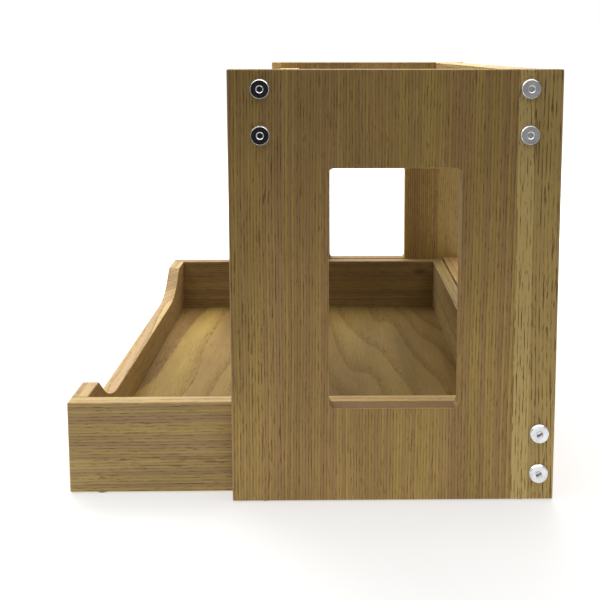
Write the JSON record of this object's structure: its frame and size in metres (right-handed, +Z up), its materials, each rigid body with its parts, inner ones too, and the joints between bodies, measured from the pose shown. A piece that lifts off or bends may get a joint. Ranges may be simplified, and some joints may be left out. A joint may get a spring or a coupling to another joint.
{
  "type": "book drop box",
  "caption": "Open-topped oak book drop box: windowed side panels joined by rails, over a wide scooped tray that slides out at the front.",
  "frame": {"origin": "on the floor at the centre of the whole box's footprint, with the tray at home", "axes": "+Z up; +X from the tray's front to the back of the frame; +Y from the right side panel to the left one, as seen from the front"},
  "size_m": [0.454, 0.6652, 0.4],
  "materials": {
    "oak_panel": "oiled solid oak staves, matt, open pores",
    "oak_rail": "oiled solid oak, matt",
    "oak_tray": "oiled solid oak, matt",
    "oak_veneer": "oak veneer with a cathedral figure, matt lacquer",
    "chrome_bolt": "bright chrome plate",
    "zinc_nut": "zinc-plated steel",
    "beech_dowel": "raw fluted beech",
    "felt_pad": "dense dark felt"
  },
  "bodies": {
    "frame": {"right_side_panel": "oak_panel", "left_side_panel": "oak_panel", "front_top_rail": "oak_rail", "back_top_rail": "oak_rail", "base_rail": "oak_rail", "front_top_bolts_right": "chrome_bolt", "front_top_bolts_left": "chrome_bolt", "back_top_bolts_right": "chrome_bolt", "back_top_bolts_left": "chrome_bolt", "base_rail_bolts_right": "chrome_bolt", "base_rail_bolts_left": "chrome_bolt", "front_top_barrel_nuts": "zinc_nut", "back_top_barrel_nuts": "zinc_nut", "base_rail_barrel_nuts": "zinc_nut", "frame_felt_pads": "felt_pad"},
    "tray": {"tray_front": "oak_tray", "tray_back": "oak_tray", "tray_right_side": "oak_tray", "tray_left_side": "oak_tray", "tray_base": "oak_veneer", "tray_front_dowels": "beech_dowel", "tray_back_dowels": "beech_dowel", "tray_felt_pads": "felt_pad"}
  },
  "joints": [
    {"name": "tray_slide", "type": "slide", "parent": "frame", "child": "tray", "axis": [-1, 0, 0], "range_m": [0, 0.28]}
  ]
}
